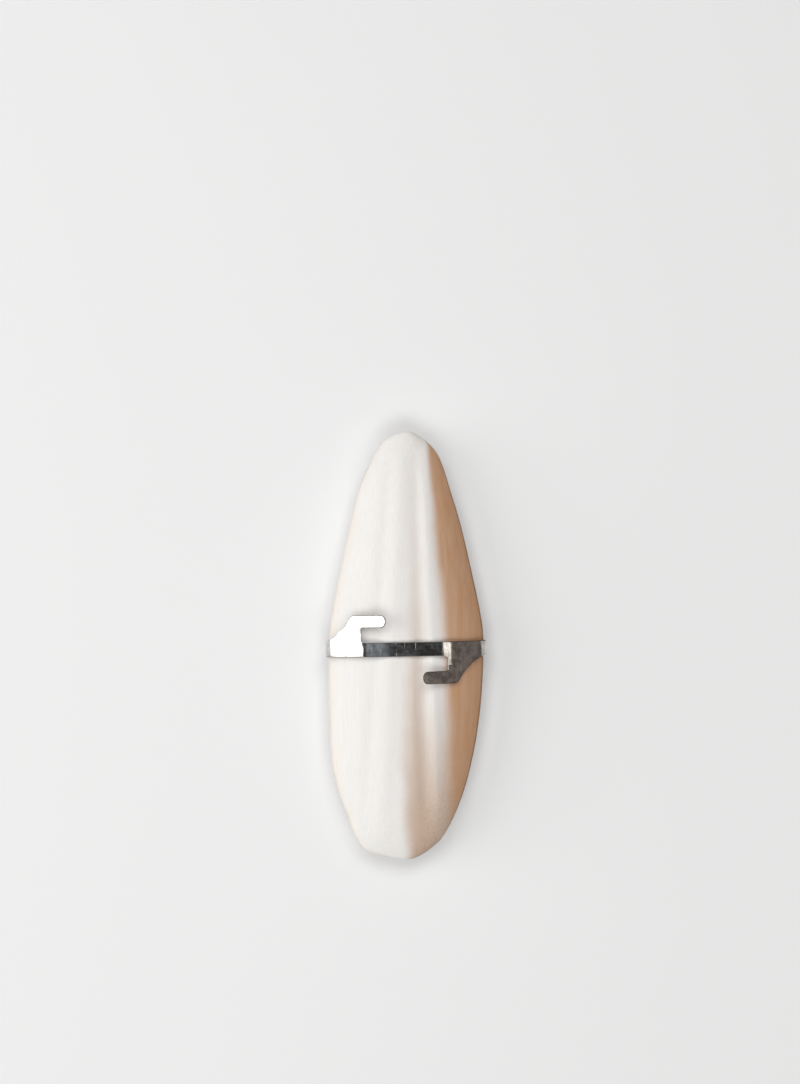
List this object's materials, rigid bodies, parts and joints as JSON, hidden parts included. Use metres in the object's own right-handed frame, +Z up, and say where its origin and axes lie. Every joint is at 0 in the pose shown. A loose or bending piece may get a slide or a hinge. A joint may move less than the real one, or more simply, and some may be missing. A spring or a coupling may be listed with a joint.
{
  "type": "cuttlebone with cage clip",
  "caption": "Dried cuttlebone for cage birds, a long oval with a ribbed hard back and a chalky underside, held by a bent steel band whose two hooked fingers grip a cage wire.",
  "frame": {"origin": "centre of the bottom of the bounding box, on the surface the object lies on", "axes": "+Y along the bone towards its narrow head end, +Z up out of the hard ribbed back and the clip's fingers, +X to the right seen from above with the head end away from the viewer"},
  "size_m": [0.0432, 0.115, 0.0191],
  "materials": {
    "cuttlebone": "matt, chalky, off-white with tan and brown edges",
    "clip_steel": "bright plated sheet steel with fine scratches"
  },
  "bodies": {
    "root": {"cuttlebone": "cuttlebone", "clip": "clip_steel"}
  },
  "joints": []
}
